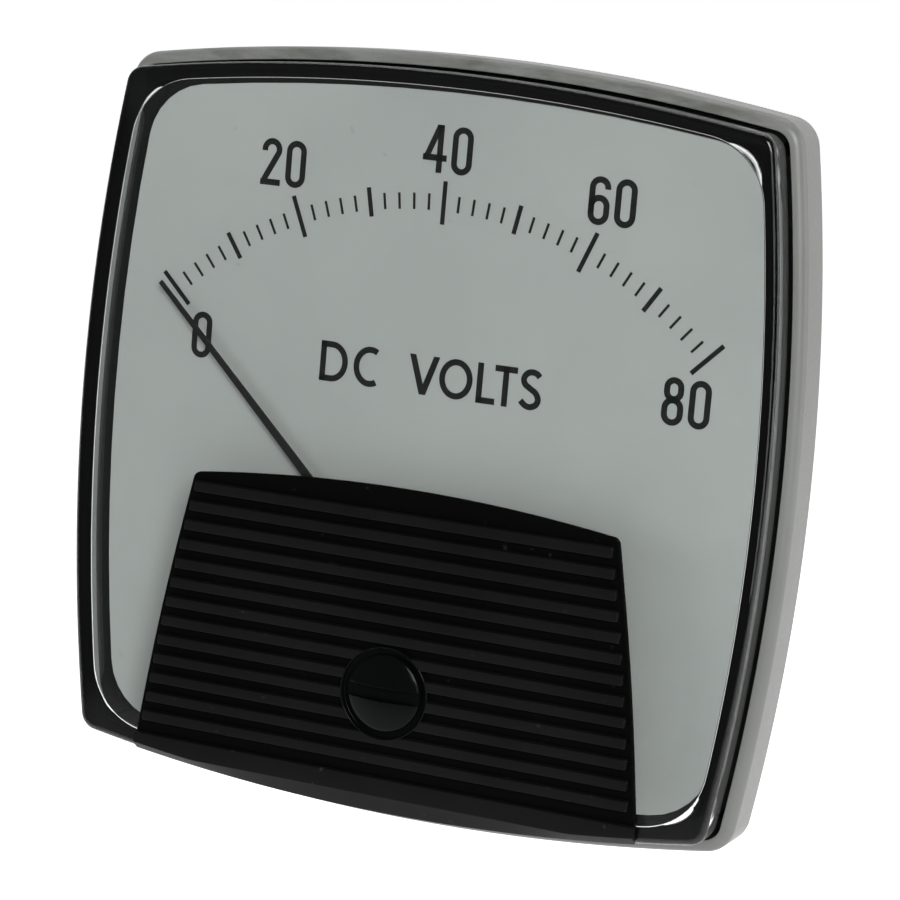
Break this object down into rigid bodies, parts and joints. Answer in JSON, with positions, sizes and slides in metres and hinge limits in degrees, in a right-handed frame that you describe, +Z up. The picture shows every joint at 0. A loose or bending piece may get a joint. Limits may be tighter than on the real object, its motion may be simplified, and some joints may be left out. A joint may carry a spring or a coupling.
{
  "type": "analog panel meter",
  "caption": "Square analog panel meter: clear cover over a scaled dial, ribbed black mask with zero adjuster, moving-coil movement, barrel with screw terminals behind.",
  "frame": {"origin": "centre of the panel face, where the barrel leaves the back of the bezel", "axes": "+Z up, viewer at -Y, +Y along the barrel into the panel, +X to the viewer's right"},
  "size_m": [0.0888, 0.0609, 0.0888],
  "materials": {
    "case_grey": "satin, faintly mottled",
    "clear_acrylic": "clear and glossy",
    "mask_black": "semi-gloss",
    "adjuster_black": "glossy",
    "dial_paint": "matt paint",
    "pointer_black": "thin aluminium, matt black paint",
    "zinc_steel": "satin",
    "brass": "satin",
    "copper": "enamelled wire",
    "spring_bronze": "polished",
    "magnet": "ground",
    "soft_iron": "satin",
    "bridge_alu": "satin",
    "cast_alu": "cast",
    "resistor_body": "matt lacquer",
    "lead_blue": "smooth insulation"
  },
  "bodies": {
    "meter_body": {"case_base": "case_grey", "mounting_studs": "zinc_steel", "clear_cover": "clear_acrylic", "ribbed_mask": "mask_black", "dial_plate": "dial_paint", "dial_screws": "zinc_steel", "stop_pins": "zinc_steel", "core_magnet": "magnet", "core_spacers": "brass", "yoke_ring": "soft_iron", "front_bridge": "bridge_alu", "rear_bridge": "bridge_alu", "front_jewel_screw": "brass", "rear_jewel_screw": "brass", "front_lock_nut": "brass", "rear_lock_nut": "brass", "bridge_screws": "zinc_steel", "rear_spring_tab": "brass", "support_frame": "cast_alu", "movement_screws": "zinc_steel", "series_resistor": "resistor_body", "hookup_leads": "lead_blue", "solder_lugs": "zinc_steel", "terminal_studs": "brass", "terminal_washers": "zinc_steel", "clamp_nuts": "brass", "lead_nuts": "brass"},
    "moving_coil": {"pointer": "pointer_black", "balance_weights": "copper", "coil_former": "bridge_alu", "coil_winding": "copper", "front_pivot": "zinc_steel", "rear_pivot": "zinc_steel", "front_hairspring": "spring_bronze", "rear_hairspring": "spring_bronze"},
    "zero_screw": {"zero_adjuster": "adjuster_black", "adjuster_washer": "zinc_steel"},
    "zero_arm": {"zero_arm": "brass"}
  },
  "joints": [
    {"name": "pointer_swing", "type": "hinge", "parent": "meter_body", "child": "moving_coil", "pos_m": [0, 0, -0.019], "axis": [0, 1, 0], "range_deg": [-2.5, 93.5], "stiffness_Nm_per_rad": 0.00003, "deforming": ["front_hairspring", "rear_hairspring"]},
    {"name": "zero_screw_turn", "type": "hinge", "parent": "meter_body", "child": "zero_screw", "pos_m": [0, 0, -0.0285], "axis": [0, 1, 0], "range_deg": [-40, 40]},
    {"name": "zero_arm_swing", "type": "hinge", "parent": "meter_body", "child": "zero_arm", "pos_m": [0, 0, -0.019], "axis": [0, 1, 0], "range_deg": [-6.5, 6.5]}
  ],
  "couplings": [
    {"joint": "zero_arm_swing", "follows": "zero_screw_turn", "ratio": -0.148}
  ]
}
